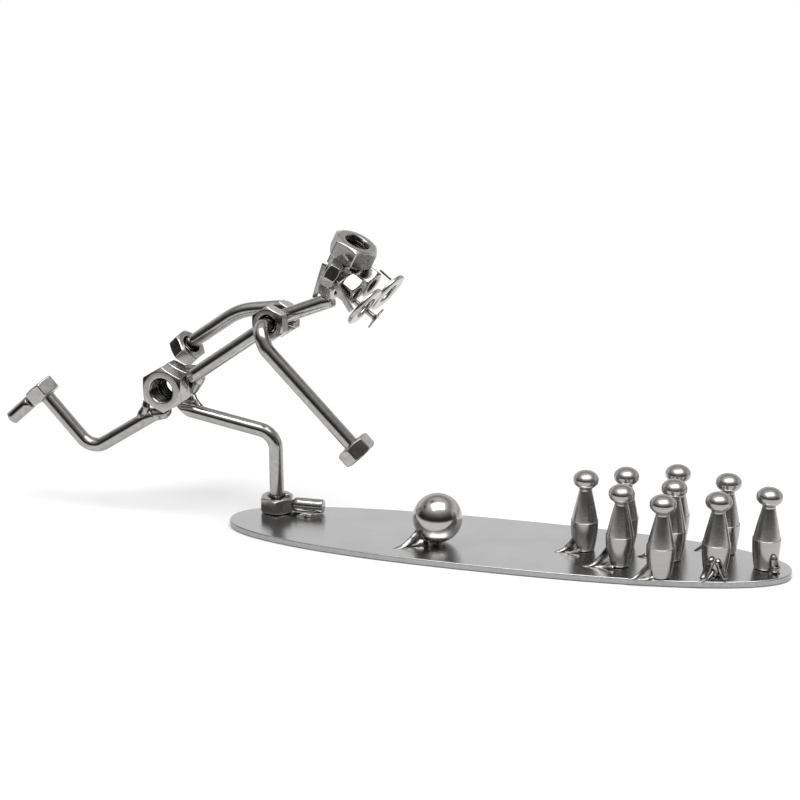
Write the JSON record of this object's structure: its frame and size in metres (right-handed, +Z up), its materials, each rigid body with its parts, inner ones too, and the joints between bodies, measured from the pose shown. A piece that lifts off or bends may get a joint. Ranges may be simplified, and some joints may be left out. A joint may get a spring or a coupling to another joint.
{
  "type": "figure trophy",
  "caption": "Desk trophy of a bowler made of hex nuts and bent round bar, with a ball and turned pins, welded to an oval plate.",
  "frame": {"origin": "middle of the oval plate's underside", "axes": "+Z up, +X the way the bowler bowls, along the plate, +Y to the bowler's left"},
  "size_m": [0.3296, 0.0592, 0.1243],
  "materials": {
    "plate": "satin plate, laser-cut edge",
    "rod": "bright drawn round bar",
    "nut": "bright plated nut",
    "turned": "bright turned bar",
    "ball": "polished ball",
    "weld": "bright weld metal"
  },
  "bodies": {
    "root": {"ball_weld": "weld", "base_plate": "plate", "bowling_ball": "ball", "crown_spacer": "nut", "crown_strip": "rod", "foot_weld": "weld", "hip_weld": "weld", "left_arm_rod": "rod", "left_ear_nut": "nut", "left_eye_nut": "nut", "left_foot_nut": "nut", "left_hand_nut": "nut", "left_hip_nut": "nut", "left_leg_rod": "rod", "left_leg_weld": "weld", "left_lens_ring": "nut", "left_shoulder_nut": "nut", "left_temple_strip": "rod", "left_toe_rod": "rod", "nape_strip": "rod", "neck_nut": "nut", "nose_nail": "nut", "pin_1": "turned", "pin_2": "turned", "pin_3": "turned", "pin_4": "turned", "pin_5": "turned", "pin_6": "turned", "pin_7": "turned", "pin_8": "turned", "pin_9": "turned", "pin_weld_1": "weld", "pin_weld_2": "weld", "pin_weld_3": "weld", "pin_weld_4": "weld", "pin_weld_5": "weld", "pin_weld_6": "weld", "pin_weld_7": "weld", "pin_weld_8": "weld", "pin_weld_9": "weld", "right_arm_rod": "rod", "right_ear_nut": "nut", "right_eye_nut": "nut", "right_foot_nut": "nut", "right_hand_nut": "nut", "right_hip_nut": "nut", "right_leg_rod": "rod", "right_leg_weld": "weld", "right_lens_ring": "nut", "right_shoulder_nut": "nut", "right_temple_strip": "rod", "right_toe_rod": "rod", "skull_nut": "nut", "torso_rod": "rod"}
  },
  "joints": []
}
